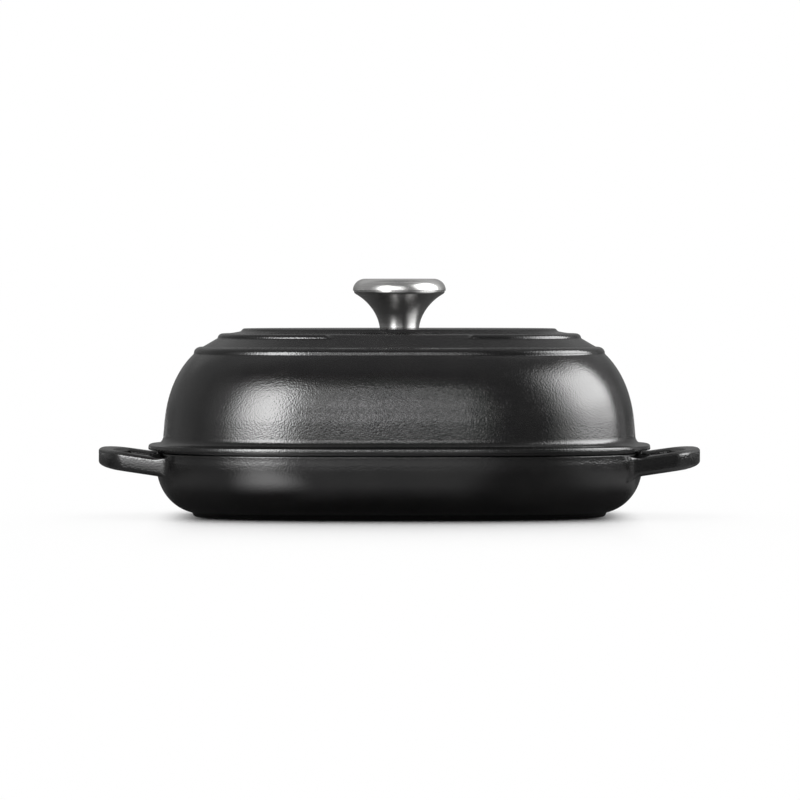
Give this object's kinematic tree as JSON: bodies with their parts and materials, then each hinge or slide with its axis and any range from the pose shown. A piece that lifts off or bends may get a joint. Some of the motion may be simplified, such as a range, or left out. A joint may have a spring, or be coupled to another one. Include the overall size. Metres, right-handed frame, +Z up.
{
  "type": "bread oven",
  "caption": "Oval enamelled cast-iron bread oven: shallow dish with loop handles, tall domed lid with terraced rings, and a steel knob screwed on from inside the lid.",
  "frame": {"origin": "on the table, under the middle of the dish's flat foot", "axes": "+Z up, +X along the handles, -Y towards the front of the lid"},
  "size_m": [0.3758, 0.204, 0.1479],
  "materials": {
    "black_enamel": "satin black enamel with a fine orange-peel surface",
    "knob_steel": "satin stainless steel, turned and finely brushed",
    "fixing_steel": "plain machined steel"
  },
  "bodies": {
    "dish": {"base_dish": "black_enamel"},
    "lid": {"lid_dome": "black_enamel"},
    "knob": {"knob_stem": "knob_steel", "knob_cap": "knob_steel", "knob_insert": "fixing_steel"},
    "screw": {"knob_screw": "fixing_steel", "screw_washer": "fixing_steel"}
  },
  "joints": [
    {"name": "lid_lift", "type": "slide", "parent": "dish", "child": "lid", "axis": [0, 0, 1], "range_m": [0, 0.16]},
    {"name": "knob_turn", "type": "hinge", "parent": "lid", "child": "knob", "pos_m": [0, 0, 0.13], "axis": [0, 0, 1], "range_deg": [0, 4320]},
    {"name": "screw_drop", "type": "slide", "parent": "lid", "child": "screw", "axis": [0, 0, -1], "range_m": [0, 0.01201]}
  ],
  "couplings": [
    {"joint": "screw_drop", "follows": "knob_turn", "m_per_rad": 0.00015915}
  ]
}
